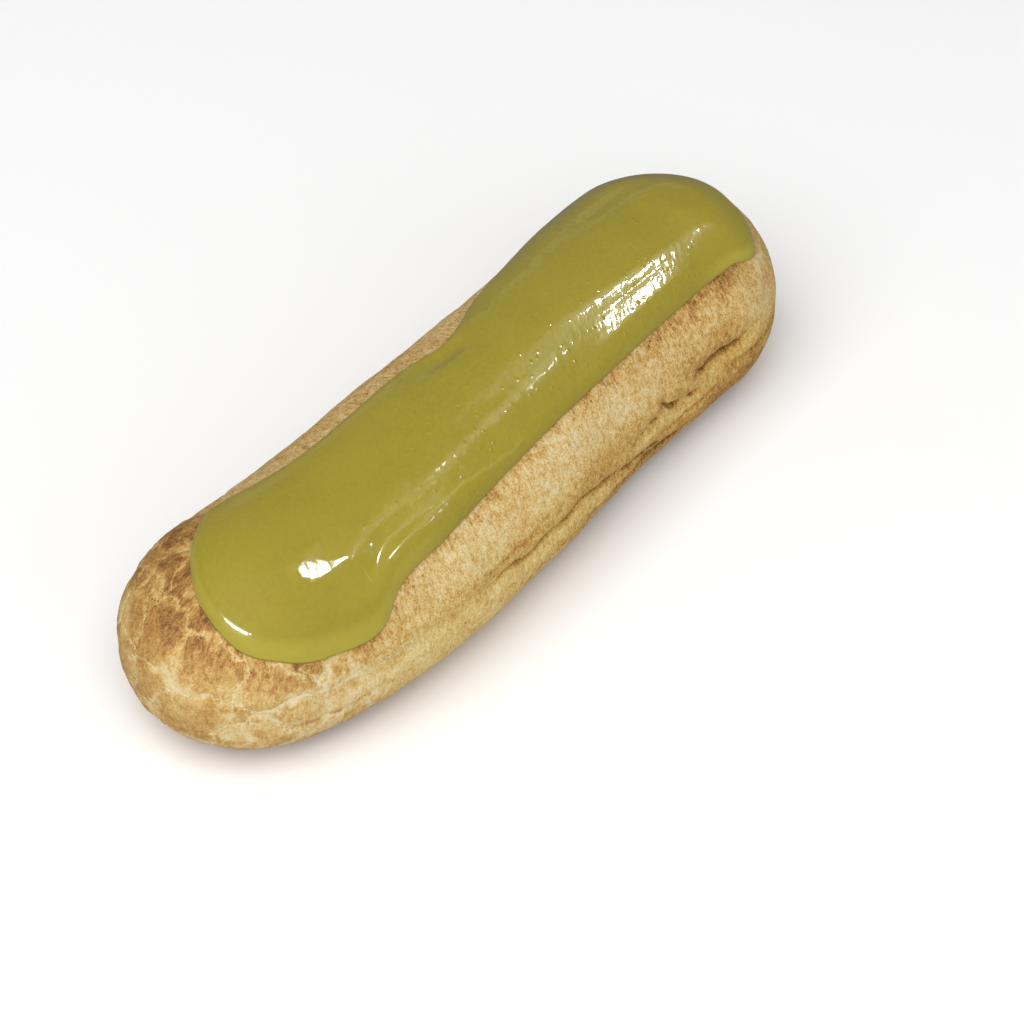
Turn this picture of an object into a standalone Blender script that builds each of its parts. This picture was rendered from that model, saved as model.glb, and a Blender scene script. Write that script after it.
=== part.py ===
"""A whole, uncut eclair: a baked choux body lying on its flat base, with a slab of icing on its top.

Run it with blender --background --python part.py, or from Blender's text editor.

The dough was piped along a straight spine under the top. Every outline here is a distance from that
spine, given against a place: the way round the edge, in millimetres, from the tip of the near end (-X),
along the front (-Y), round the far end (+X) and back along the rear (+Y).
"""

from math import pi, radians

import bmesh
import bpy
import numpy as np

MM = 0.001

# The log, in millimetres. The spine is its straight middle, and ROUND the radius that places are counted at.
SPINE_HALF = 52.0
ROUND = 21.5
QUARTER = pi * ROUND / 2
FRONT = QUARTER
FAR_END = FRONT + 2 * SPINE_HALF
REAR = FAR_END + 2 * QUARTER
EDGE = REAR + 2 * SPINE_HALF + QUARTER

# How far the side stands out from the spine at each place, and how high the ridge is along X.
SIDE_REACH = (
    (0, 24.2), (14, 21.6), (28, 20.3),
    (43, 23.6), (57, 24.6), (71, 24.1), (86, 23.3), (114, 20.1), (140, 19.6),
    (157, 21.4), (171, 23.8), (186, 23.7),
    (214, 24.4), (243, 22.7), (272, 22.1), (300, 22.0),
    (316, 24.0), (329, 25.5),
)
RIDGE_HEIGHT = ((-60, 35.7), (-30, 35.8), (0, 36.1), (30, 35.9), (60, 35.3))

# The cross-section is a superellipse, with its widest line at the waist and a flat base below.
WAIST_SHARE = 0.438
CROWN_POWER = 2.07
FOOT_POWER = 2.67
FOOT_DEPTH = 1.06
BASE_EDGE = radians(-68)

# Creases where the crust folded as the dough rose: depth, width, then the line as (place, height) pairs.
CREASES = (
    (1.2, 2.1, ((30, 16.4), (50, 17.6), (62, 17.7), (70, 16.7), (78, 15.9), (90, 16.4), (98, 14.7),
                (107, 12.0), (116, 10.8))),
    (1.4, 2.0, ((108, 18.0), (115, 19.0), (118, 16.9), (122, 15.4), (129, 15.0))),
    (1.2, 2.0, ((122, 19.6), (130, 18.9), (136, 18.7), (148, 18.9))),
    (0.8, 2.2, ((76, 8.6), (92, 8.2), (106, 7.6), (120, 8.4))),
    (1.2, 2.1, ((196, 17.0), (212, 18.6), (228, 17.8), (244, 19.0), (262, 17.2))),
    (1.2, 2.0, ((256, 20.6), (270, 19.4), (286, 20.0), (304, 18.2), (318, 16.4))),
)
CREASE_FADE = 9.0

# The icing's outline, its thickness and its rounded rim. RIM_ROLL lifts the rim where the icing ran and
# gathered, and RIM_VALLEY sinks the icing just inside it.
ICING_REACH = (
    (2, 15.3), (12, 17.9), (20, 18.3), (30, 19.0),
    (40, 21.1), (47, 19.2), (58, 18.6), (75, 17.0), (100, 14.9), (125, 13.4), (143, 13.5),
    (152, 16.4), (159, 16.1), (167, 14.8), (186, 15.4), (205, 19.7),
    (216, 19.0), (232, 15.5), (243, 12.5), (255, 8.1), (266, 9.3), (290, 8.3), (299, 9.5),
    (309, 11.9), (320, 11.6), (333, 12.5),
)
ICING_THICK = 3.1
RIM_THICK = (
    (0, 2.9), (20, 3.0), (45, 2.8), (70, 2.0), (100, 1.6), (140, 1.6), (156, 2.2), (190, 2.4), (320, 2.6),
)
RIM_WIDTH = 2.2
RIM_SLOPE = 7.0
RIM_ROLL = (
    (0, 0.2), (30, 0.3), (44, 0.6), (54, 1.0), (64, 0.5), (76, 0.0), (180, 0.0), (250, 0.0), (320, 0.1),
)
RIM_VALLEY = (
    (0, 0.0), (26, 0.1), (36, 0.8), (50, 1.3), (60, 0.9), (72, 0.2), (84, 0.0), (180, 0.0), (320, 0.0),
)
ROLL_INSET = 2.6
ROLL_SPREAD = 1.6
VALLEY_INSET = 5.4
VALLEY_SPREAD = 2.4
GAP = 0.3

# How finely each piece is divided: places round the edge, and rows from the middle below to the middle above.
PLACES = 100
CHOUX_ROWS = 32
UNDERSIDE_ROWS = 7
UNDERSIDE_CROWDING = 1.5
LIP_ROWS = 4
TOP_ROWS = 5

# Principled BSDF colours (linear) and roughness.
CRUST_COLOUR = (0.50, 0.28, 0.10, 1.0)
CRUST_ROUGHNESS = 0.75
ICING_COLOUR = (0.36, 0.30, 0.035, 1.0)
ICING_ROUGHNESS = 0.15

WELD = 1e-6


def edge_frame(place):
    """The spine's x beside a place, and the outward direction there as (dx, dy)."""
    place = np.mod(place, EDGE)
    starts = np.array((0.0, FRONT, FAR_END, REAR, REAR + 2 * SPINE_HALF))
    part = np.searchsorted(starts, place, side="right") - 1
    run = place - starts[part]
    turn = run / ROUND
    level = np.zeros_like(run)
    near, far = level - SPINE_HALF, level + SPINE_HALF
    x = np.choose(part, (near, near + run, far, far - run, near))
    dx = np.choose(part, (-np.cos(turn), level, np.sin(turn), level, -np.sin(turn)))
    dy = np.choose(part, (-np.sin(turn), level - 1, -np.cos(turn), level + 1, np.cos(turn)))
    return x, dx, dy


def edge_place(x, y):
    """The place beside a point seen from above, and the point's distance from the spine."""
    past_end = np.sign(x) * np.maximum(np.abs(x) - SPINE_HALF, 0.0)
    near = np.mod(np.arctan2(-y, -past_end) * ROUND, EDGE)
    far = FAR_END + np.arctan2(past_end, -y) * ROUND
    along = np.where(y < 0, FRONT + SPINE_HALF + x, REAR + SPINE_HALF - x)
    place = np.where(x < -SPINE_HALF, near, np.where(x > SPINE_HALF, far, along))
    return place, np.hypot(past_end, y)


def smooth_line(at, table, closed=False):
    """A smooth curve through (position, value) pairs, read at some positions."""
    knots, values = np.array(table, float).T
    if closed:
        at = np.mod(at - knots[0], EDGE) + knots[0]
        knots = np.concatenate((knots[-2:] - EDGE, knots, knots[:2] + EDGE))
        values = np.concatenate((values[-2:], values, values[:2]))
    else:
        at = np.clip(at, knots[0], knots[-1])
        knots = np.concatenate(([2 * knots[0] - knots[1]], knots, [2 * knots[-1] - knots[-2]]))
        values = np.concatenate((values[:1], values, values[-1:]))
    slopes = np.zeros_like(values)
    slopes[1:-1] = (values[2:] - values[:-2]) / (knots[2:] - knots[:-2])
    i = np.clip(np.searchsorted(knots, at, side="right") - 1, 0, len(knots) - 2)
    width = knots[i + 1] - knots[i]
    t = (at - knots[i]) / width
    rise = t * t * (3 - 2 * t)
    ease = slopes[i] * t * (1 - t) ** 2 - slopes[i + 1] * t * t * (1 - t)
    return values[i] * (1 - rise) + values[i + 1] * rise + ease * width


def ridge_height(x):
    return smooth_line(np.clip(x, -SPINE_HALF, SPINE_HALF), RIDGE_HEIGHT)


def crease_depth(place, z):
    """How far the creases sink the side at a place and a height."""
    depth = 0.0
    for deepest, width, line in CREASES:
        start, end = line[0][0], line[-1][0]
        inside = np.minimum(place - start, end - place) / CREASE_FADE
        strength = np.clip(inside, 0, 1) ** 0.5
        off = (z - smooth_line(place, line)) / width
        depth = depth + deepest * strength * np.exp(-(off**2))
    return depth


def crown_height(x, y):
    """The choux's upper surface above a point, without its creases."""
    place, distance = edge_place(x, y)
    share = np.minimum(distance / smooth_line(place, SIDE_REACH, closed=True), 1.0)
    arch = (1 - share**CROWN_POWER) ** (1 / CROWN_POWER)
    return ridge_height(x) * (WAIST_SHARE + (1 - WAIST_SHARE) * arch)


def choux_points(place, row):
    """The choux's skin: the first row is the middle of the base, and the rest climb from its edge to the ridge."""
    x, dx, dy = edge_frame(place)
    height = ridge_height(x)
    climb = np.clip((row * CHOUX_ROWS - 1) / (CHOUX_ROWS - 1), 0, 1)
    angle = BASE_EDGE + (pi / 2 - BASE_EDGE) * climb
    out, up = np.abs(np.cos(angle)), np.sin(angle)
    power = np.where(up >= 0, CROWN_POWER, FOOT_POWER)
    share = out ** (2 / power)
    share = np.where((row == 0) | (row == 1), 0.0, share)
    lift = np.abs(up) ** (2 / power)
    lift = np.where(up >= 0, (1 - WAIST_SHARE) * lift, -WAIST_SHARE * FOOT_DEPTH * lift)
    z = np.maximum(height * (WAIST_SHARE + lift), 0.0)
    z = np.where(row == 0, 0.0, z)
    reach = smooth_line(place, SIDE_REACH, closed=True) * share
    reach = reach - np.where(share > 0.5, crease_depth(place, z), 0.0)
    return np.stack((x + dx * reach, dy * reach, z), axis=-1)


def icing_thickness(place, inset):
    """The icing's thickness at a distance in from its edge."""
    rim = smooth_line(place, RIM_THICK, closed=True)
    slope = np.clip(inset / RIM_SLOPE, 0, 1)
    thick = rim + (ICING_THICK - rim) * slope * slope * (3 - 2 * slope)
    roll = np.exp(-(((inset - ROLL_INSET) / ROLL_SPREAD) ** 2))
    valley = np.exp(-(((inset - VALLEY_INSET) / VALLEY_SPREAD) ** 2))
    thick = thick + smooth_line(place, RIM_ROLL, closed=True) * roll
    thick = thick - smooth_line(place, RIM_VALLEY, closed=True) * valley
    lip = np.clip(1 - inset / RIM_WIDTH, 0, 1)
    return thick * (1 - lip**2) ** 0.5


def icing_points(place, row):
    """The icing's skin: out along its underside, round its lip and back over its top to the spine."""
    x, dx, dy = edge_frame(place)
    reach = smooth_line(place, ICING_REACH, closed=True)
    step = np.rint(row * (UNDERSIDE_ROWS + LIP_ROWS + TOP_ROWS)).astype(int)
    under = step <= UNDERSIDE_ROWS
    lip_turn = np.clip((step - UNDERSIDE_ROWS) / LIP_ROWS, 0, 1) * pi / 2
    inset = RIM_WIDTH * (1 - np.cos(lip_turn))
    back = np.clip((step - UNDERSIDE_ROWS - LIP_ROWS) / TOP_ROWS, 0, 1)
    over = (reach - RIM_WIDTH) * (1 - back)
    below = reach * (1 - np.clip(1 - step / UNDERSIDE_ROWS, 0, 1) ** UNDERSIDE_CROWDING)
    distance = np.where(under, below, np.where(back > 0, over, reach - inset))
    x, y = x + dx * distance, dy * distance
    thick = np.where(under, 0.0, icing_thickness(place, reach - distance))
    return np.stack((x, y, crown_height(x, y) + GAP + thick), axis=-1)


def wrapped_grid(name, rows, skin):
    """A grid bent round into a closed skin. Its columns are places, and its outer rows close on the spine."""
    mesh = bpy.data.meshes.new(name)
    bm = bmesh.new()
    bmesh.ops.create_grid(bm, x_segments=PLACES, y_segments=rows, size=1.0)
    flat = np.array([vert.co[:2] for vert in bm.verts]) * 0.5 + 0.5
    column = np.mod(np.rint(flat[:, 0] * PLACES), PLACES)
    points = skin(column / PLACES * EDGE, np.rint(flat[:, 1] * rows) / rows) * MM
    for vert, point in zip(bm.verts, points):
        vert.co = point
    bmesh.ops.remove_doubles(bm, verts=bm.verts, dist=WELD)
    bmesh.ops.recalc_face_normals(bm, faces=bm.faces)
    bm.to_mesh(mesh)
    bm.free()
    mesh.shade_smooth()
    return mesh


def centre_over_origin(meshes, body):
    """Moves the meshes together so that the body's box has its middle over the origin."""
    x, y, _ = np.array([vert.co for vert in body.vertices]).T
    middle = np.array(((x.min() + x.max()) / 2, (y.min() + y.max()) / 2, 0.0))
    for mesh in meshes:
        for vert in mesh.vertices:
            vert.co = np.array(vert.co) - middle


def finish(name, colour, roughness):
    material = bpy.data.materials.new(name)
    material.use_nodes = True
    shader = material.node_tree.nodes["Principled BSDF"]
    shader.inputs["Base Color"].default_value = colour
    shader.inputs["Roughness"].default_value = roughness
    shader.inputs["Metallic"].default_value = 0.0
    return material


def main():
    for obj in list(bpy.data.objects):
        bpy.data.objects.remove(obj)
    group = bpy.data.collections.new("eclair")
    bpy.context.scene.collection.children.link(group)
    choux = wrapped_grid("choux", CHOUX_ROWS, choux_points)
    icing = wrapped_grid("icing", UNDERSIDE_ROWS + LIP_ROWS + TOP_ROWS, icing_points)
    centre_over_origin((choux, icing), choux)
    choux.materials.append(finish("choux", CRUST_COLOUR, CRUST_ROUGHNESS))
    icing.materials.append(finish("icing", ICING_COLOUR, ICING_ROUGHNESS))
    for mesh in (choux, icing):
        group.objects.link(bpy.data.objects.new(mesh.name, mesh))


main()
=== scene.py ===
"""How the eclair looks: the baked choux crust, the poured icing, and the light and floor around them.

Sizes are in millimetres unless a name or a comment says otherwise, and MM turns them into metres. The form of
the eclair is given by the same outlines as its construction: distances from the spine, the straight line the
dough was piped along, at each place round the edge. A place is counted in millimetres from the tip of the
near end (-X), along the front (-Y), round the far end (+X) and back along the rear (+Y).
"""

from math import cos, pi, radians, sin

import bmesh
import bpy
import numpy as np
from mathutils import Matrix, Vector


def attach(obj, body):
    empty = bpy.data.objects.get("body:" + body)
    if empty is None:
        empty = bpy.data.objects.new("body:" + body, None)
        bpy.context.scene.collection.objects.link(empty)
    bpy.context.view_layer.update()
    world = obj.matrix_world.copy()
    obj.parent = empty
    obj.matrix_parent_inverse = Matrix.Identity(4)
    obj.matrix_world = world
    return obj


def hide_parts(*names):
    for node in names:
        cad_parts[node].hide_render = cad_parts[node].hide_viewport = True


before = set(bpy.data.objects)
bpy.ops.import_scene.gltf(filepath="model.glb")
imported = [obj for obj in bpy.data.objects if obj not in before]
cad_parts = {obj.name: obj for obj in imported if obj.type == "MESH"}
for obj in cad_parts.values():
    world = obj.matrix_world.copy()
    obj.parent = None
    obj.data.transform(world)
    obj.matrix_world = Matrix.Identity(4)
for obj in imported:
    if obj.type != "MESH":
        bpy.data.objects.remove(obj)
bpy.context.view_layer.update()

MM = 0.001

# ---------------------------------------------------------------------------------------------------------
# The form, in millimetres
# ---------------------------------------------------------------------------------------------------------
SPINE_HALF = 52.0
ROUND = 21.5
QUARTER = pi * ROUND / 2
FRONT = QUARTER
FAR_END = FRONT + 2 * SPINE_HALF
REAR = FAR_END + 2 * QUARTER
EDGE = REAR + 2 * SPINE_HALF + QUARTER

SIDE_REACH = (
    (0, 24.2), (14, 21.6), (28, 20.3),
    (43, 23.6), (57, 24.6), (71, 24.1), (86, 23.3), (114, 20.1), (140, 19.6),
    (157, 21.4), (171, 23.8), (186, 23.7),
    (214, 24.4), (243, 22.7), (272, 22.1), (300, 22.0),
    (316, 24.0), (329, 25.5),
)
RIDGE_HEIGHT = ((-60, 35.7), (-30, 35.8), (0, 36.1), (30, 35.9), (60, 35.3))
WAIST_SHARE = 0.438
CROWN_POWER = 2.07
FOOT_POWER = 2.67
FOOT_DEPTH = 1.06
BASE_EDGE = radians(-68)

# Folds in the crust: depth, width, depth of the slit at its bottom, then the line as (place, height) pairs.
# A fold and a slit fade out towards the ends of their line.
CREASES = (
    (0.5, 1.8, 0.0, ((24, 16.2), (36, 16.6), (50, 17.6), (66, 17.4))),
    (1.0, 1.9, 1.2, ((62, 17.8), (66, 17.4), (70, 16.7), (75, 15.8), (80, 16.0), (85, 16.3), (90, 16.5),
                     (94, 15.7), (98, 14.7), (102, 13.1), (107, 12.0), (114, 10.8))),
    (0.7, 1.6, 0.5, ((104, 17.4), (110, 17.5), (116, 17.8))),
    (1.1, 1.8, 1.8, ((114, 19.4), (116, 18.9), (117.5, 17.0), (121, 15.6), (126, 15.2))),
    (1.0, 1.9, 1.0, ((124, 19.6), (130, 18.9), (136, 18.7), (144, 18.9))),
    (0.8, 2.2, 0.3, ((76, 8.6), (92, 8.2), (106, 7.6), (120, 8.4))),
    (1.1, 2.1, 0.8, ((196, 17.0), (212, 18.6), (228, 17.8), (244, 19.0), (262, 17.2))),
    (1.1, 2.0, 0.8, ((256, 20.6), (270, 19.4), (286, 20.0), (304, 18.2), (318, 16.4))),
)
CREASE_FADE = 7.0
SLIT_FADE = 3.0
# The slit's width, and how far it wanders off the fold's line.
SLIT_WIDTH = 0.32
SLIT_WANDER = 0.42
# Folds start this share of the way out from the spine, so the base and the crust under the icing have none.
FOLDS_OUT_FROM = 0.5
# Painted light: just below each fold the crust is paler where its roll faces the light. The half width, how
# far down, and how much.
LIP_WIDTH = 0.9
LIP_DROP = 1.71
LIP_PAINTED_LIGHT = 0.30
# Shallow wrinkles beside the folds: depth, width and line.
WRINKLES = (
    (0.30, 0.5, ((62, 20.6), (70, 20.0), (78, 20.4))),
    (0.40, 0.6, ((88, 12.0), (98, 10.2), (112, 8.8), (126, 8.0))),
    (0.35, 0.5, ((112, 13.4), (120, 12.2), (132, 12.6))),
    (0.35, 0.5, ((132, 15.4), (142, 14.2), (152, 14.6))),
    (0.30, 0.5, ((16, 12.0), (28, 11.2), (42, 12.4))),
    (0.35, 0.5, ((206, 13.8), (220, 14.6), (236, 13.2))),
    (0.40, 0.6, ((262, 14.8), (280, 15.6), (298, 14.0))),
    (0.30, 0.5, ((240, 23.4), (252, 22.6), (266, 23.6))),
)
# Where the crust is darker (positive) or paler: place, height, half length, half height, strength. Most is
# oven browning. The bands above the folds at places 62 and 92 are browning and painted shade. The ones low
# down from place 114 to 142 are painted shade under the far front, and the one at place 136, height 30, is
# painted shade under the icing's rim.
BROWNING_AND_SHADE = (
    (-16, 33, 20, 4.5, 0.60), (-24, 27, 10, 5, 0.38), (-2, 28, 12, 4, 0.32), (-10, 20, 9, 5, 0.26),
    (14, 26, 10, 3, 0.55), (0, 31, 9, 3, 0.40), (6, 12, 14, 5, 0.12), (30, 23.5, 12, 2.2, 0.30),
    (28, 15, 14, 5, -0.24), (20, 20, 6, 5, -0.12),
    (50, 15, 24, 9, -0.44), (78, 26, 16, 4.5, -0.18), (100, 26, 14, 4, -0.20), (62, 26, 8, 4, -0.10),
    (92, 20.0, 28, 2.6, 0.26), (62, 19.5, 14, 2.4, 0.28),
    (132, 22, 14, 4, 0.26), (136, 30, 18, 2.6, 0.50), (112, 25, 12, 4, -0.18), (150, 22, 9, 7, -0.36),
    (76, 13.5, 20, 2.4, -0.06), (122, 13, 10, 3, -0.10),
    (114, 8, 22, 4.0, 0.60), (118, 1.5, 30, 2.4, 1.10), (142, 11, 14, 6, 0.66), (70, 6, 24, 3, 0.06),
    (190, 22, 30, 8, 0.20), (215, 14, 20, 6, -0.10), (250, 24, 22, 5, 0.10),
    (300, 14, 24, 6, -0.12), (262, 9, 30, 5, 0.20), (318, 30, 12, 4, 0.30),
)

# The icing's outline, its thickness, and its rounded rim. RIM_ROLL lifts the rim where the icing ran and
# gathered, and RIM_VALLEY sinks the icing just inside it.
ICING_REACH = (
    (2, 15.3), (12, 17.9), (20, 18.3), (30, 19.0),
    (40, 21.1), (47, 19.2), (58, 18.6), (75, 17.0), (100, 14.9), (125, 13.4), (143, 13.5),
    (152, 16.4), (159, 16.1), (167, 14.8), (186, 15.4), (205, 19.7),
    (216, 19.0), (232, 15.5), (243, 12.5), (255, 8.1), (266, 9.3), (290, 8.3), (299, 9.5),
    (309, 11.9), (320, 11.6), (333, 12.5),
)
ICING_THICK = 3.1
RIM_THICK = (
    (0, 2.9), (20, 3.0), (45, 2.8), (70, 2.0), (100, 1.6), (140, 1.6), (156, 2.2), (190, 2.4), (320, 2.6),
)
RIM_WIDTH = 1.5
LIP_POWER = 2.2
RIM_SLOPE = 7.0
RIM_ROLL = (
    (0, 0.1), (30, 0.2), (44, 0.3), (54, 0.5), (64, 0.2), (76, 0.0), (180, 0.0), (250, 0.0), (320, 0.1),
)
RIM_VALLEY = (
    (0, 0.0), (26, 0.1), (36, 0.3), (46, 0.5), (54, 0.35), (64, 0.0), (84, 0.0), (180, 0.0), (320, 0.0),
)
ROLL_INSET = 2.0
ROLL_SPREAD = 1.4
VALLEY_INSET = 4.4
VALLEY_SPREAD = 2.0
GAP = 0.3
# Where a second, thinner flow of icing stopped short of the front edge: distance from the spine, and places.
FILM_AT = 15.7
FILM_FROM = 56
FILM_TO = 84
FILM_FADE = 4.0
FILM_LINE = 0.22
# Where the icing set almost flat: x, y, half length, half width, then the rise towards the far end and
# towards the rear. A flat is whole from FLAT_INSET in from the icing's edge.
FLATS = (
    (33.5, -9.3, 14.5, 3.5, 0.008, 0.556),
    (-51.5, -10.6, 3.4, 2.8, 0.093, 0.593),
)
FLAT_INSET = 2.5
# Where the icing set a little proud (positive) or sunk: x, y, half length, half width, height.
SWELLS = (
    (33, -8.1, 10, 0.5, -0.07), (22, -10.6, 3.0, 0.5, -0.03), (42, -6.4, 5, 0.8, 0.03),
    (-4, -8.0, 20, 2.6, -0.24), (-4, -12.0, 20, 2.2, 0.14),
    (-42, -9, 6, 5, -0.10), (54, -2, 2.2, 1.4, 0.22), (47, 10, 9, 2.2, -0.30), (55, 5.5, 5, 1.6, 0.16),
    (-20, 2, 14, 3.0, -0.22), (-34, 5, 12, 3.5, 0.15), (-2, 4.5, 6.0, 2.0, -0.80), (6, 7.2, 6, 2.5, 0.25),
    (14, -3, 12, 3, 0.10),
)

# What the finishes follow on the crust: how fast its grain runs on over the crown, over what lengths beside
# the icing and above the base its relief sets in, the share of it at the icing's edge, and how far folds and
# slits count.
OVER_CROWN = 0.6
BARE_FADE = 1.6
BARE_AT_ICING = 0.35
BASE_FADE = 2.0
FOLD_SHARE = 0.10
SLIT_SHARE = 1.2

# How finely the visible skins are divided, and the angles up the crust's side between its bands of rows.
CRUST_COLUMNS = 600
BASE_ROWS = 5
FOOT_ROWS = 20
FOLD_ROWS = 78
CROWN_ROWS = 50
UNDER_ICING_ROWS = 5
FOLDS_FROM = radians(-25)
FOLDS_TO = radians(21)
SIDE_TOP = radians(72)
ICING_COLUMNS = 560
UNDERSIDE_ROWS = 12
UNDERSIDE_CROWDING = 1.5
LIP_ROWS = 14
TOP_ROWS = 70
BOX_STEPS = 4000
WELD = 1e-6


def edge_frame(place):
    """The spine's x beside a place, and the outward direction there as (dx, dy)."""
    place = np.mod(place, EDGE)
    starts = np.array((0.0, FRONT, FAR_END, REAR, REAR + 2 * SPINE_HALF))
    part = np.searchsorted(starts, place, side="right") - 1
    run = place - starts[part]
    turn = run / ROUND
    level = np.zeros_like(run)
    near, far = level - SPINE_HALF, level + SPINE_HALF
    x = np.choose(part, (near, near + run, far, far - run, near))
    dx = np.choose(part, (-np.cos(turn), level, np.sin(turn), level, -np.sin(turn)))
    dy = np.choose(part, (-np.sin(turn), level - 1, -np.cos(turn), level + 1, np.cos(turn)))
    return x, dx, dy


def edge_place(x, y):
    """The place beside a point seen from above, and the point's distance from the spine."""
    past_end = np.sign(x) * np.maximum(np.abs(x) - SPINE_HALF, 0.0)
    near = np.mod(np.arctan2(-y, -past_end) * ROUND, EDGE)
    far = FAR_END + np.arctan2(past_end, -y) * ROUND
    along = np.where(y < 0, FRONT + SPINE_HALF + x, REAR + SPINE_HALF - x)
    place = np.where(x < -SPINE_HALF, near, np.where(x > SPINE_HALF, far, along))
    return place, np.hypot(past_end, y)


def smooth_line(at, table, closed=False):
    """A smooth curve through (position, value) pairs, read at some positions."""
    knots, values = np.array(table, float).T
    if closed:
        at = np.mod(at - knots[0], EDGE) + knots[0]
        knots = np.concatenate((knots[-2:] - EDGE, knots, knots[:2] + EDGE))
        values = np.concatenate((values[-2:], values, values[:2]))
    else:
        at = np.clip(at, knots[0], knots[-1])
        knots = np.concatenate(([2 * knots[0] - knots[1]], knots, [2 * knots[-1] - knots[-2]]))
        values = np.concatenate((values[:1], values, values[-1:]))
    slopes = np.zeros_like(values)
    slopes[1:-1] = (values[2:] - values[:-2]) / (knots[2:] - knots[:-2])
    i = np.clip(np.searchsorted(knots, at, side="right") - 1, 0, len(knots) - 2)
    width = knots[i + 1] - knots[i]
    t = (at - knots[i]) / width
    rise = t * t * (3 - 2 * t)
    ease = slopes[i] * t * (1 - t) ** 2 - slopes[i + 1] * t * t * (1 - t)
    return values[i] * (1 - rise) + values[i + 1] * rise + ease * width


def ridge_height(x):
    return smooth_line(np.clip(x, -SPINE_HALF, SPINE_HALF), RIDGE_HEIGHT)


def crown_height(x, y):
    """The choux's upper surface above a point, without its folds."""
    place, distance = edge_place(x, y)
    share = np.minimum(distance / smooth_line(place, SIDE_REACH, closed=True), 1.0)
    arch = (1 - share**CROWN_POWER) ** (1 / CROWN_POWER)
    return ridge_height(x) * (WAIST_SHARE + (1 - WAIST_SHARE) * arch)


def line_depth(place, z, lines, fade=CREASE_FADE):
    """How far some lines, each with a depth and a width, sink the side at a place and a height."""
    total = 0.0
    for depth, width, line in lines:
        inside = np.minimum(place - line[0][0], line[-1][0] - place) / fade
        strength = np.clip(inside, 0, 1) ** 0.5
        off = (z - smooth_line(place, line)) / width
        total = total + depth * strength * np.exp(-(off**2))
    return total


def fold_depth(place, z):
    return line_depth(place, z, [(depth, width, line) for depth, width, _, line in CREASES])


def painted_light_below_fold(place, z):
    """How strongly the roll just below each fold is lightened as painted light, about 0 to 1."""
    lines = [(depth, LIP_WIDTH, line) for depth, _, _, line in CREASES]
    return line_depth(place, z + LIP_DROP, lines)


def slit_depth(place, z):
    """The sharp slit at the bottom of each fold, and the wrinkles beside it.

    Slow and quick waves make a slit wander about the fold's line, and deeper in some places than in others.
    """
    wander = np.sin(place * 0.61) + 0.45 * np.sin(place * 1.73 + 1.7) + 0.12 * np.sin(place * 4.7)
    wander = SLIT_WANDER * wander
    deep = np.clip(0.70 + 0.40 * np.sin(place * 0.33 + 2.4) + 0.25 * np.sin(place * 0.97), 0.0, 1.0)
    slits = [(slit, SLIT_WIDTH, line) for _, _, slit, line in CREASES]
    wrinkles = line_depth(place, z + 0.6 * wander, WRINKLES)
    return line_depth(place, z + wander, slits, SLIT_FADE) * deep + wrinkles


def browning_and_shade(place, z):
    """How much darker than usual a place at a height is, about -0.4 to 1: oven browning and painted shade."""
    total = 0.0
    for centre, height, half_length, half_height, strength in BROWNING_AND_SHADE:
        along = (np.mod(place - centre + EDGE / 2, EDGE) - EDGE / 2) / half_length
        total = total + strength * np.exp(-(along**2) - ((z - height) / half_height) ** 2)
    return total


def icing_thickness(place, inset):
    """The icing's thickness at a distance in from its edge, before its rim is rounded."""
    rim = smooth_line(place, RIM_THICK, closed=True)
    slope = np.clip(inset / RIM_SLOPE, 0, 1)
    thick = rim + (ICING_THICK - rim) * slope * slope * (3 - 2 * slope)
    roll = np.exp(-(((inset - ROLL_INSET) / ROLL_SPREAD) ** 2))
    valley = np.exp(-(((inset - VALLEY_INSET) / VALLEY_SPREAD) ** 2))
    thick = thick + smooth_line(place, RIM_ROLL, closed=True) * roll
    return thick - smooth_line(place, RIM_VALLEY, closed=True) * valley


def icing_height(x, y):
    """The icing's upper surface above a point, before its flats, swells and rim."""
    place, distance = edge_place(x, y)
    inset = smooth_line(place, ICING_REACH, closed=True) - distance
    return crown_height(x, y) + GAP + icing_thickness(place, inset)


def icing_set(x, y, inset):
    """How much the icing set higher than its plain form, in flats and swells."""
    plain = icing_height(x, y)
    change = np.zeros_like(plain)
    for middle_x, middle_y, half_length, half_width, far_rise, rear_rise in FLATS:
        flat = icing_height(np.array([middle_x]), np.array([middle_y]))[0]
        flat = flat + far_rise * (x - middle_x) + rear_rise * (y - middle_y)
        share = np.exp(-(((x - middle_x) / half_length) ** 4) - ((y - middle_y) / half_width) ** 4)
        change = change + share * np.clip(inset / FLAT_INSET, 0, 1) * (flat - plain)
    for middle_x, middle_y, half_length, half_width, height in SWELLS:
        share = np.exp(-(((x - middle_x) / half_length) ** 2) - ((y - middle_y) / half_width) ** 2)
        change = change + height * share
    return change


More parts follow.
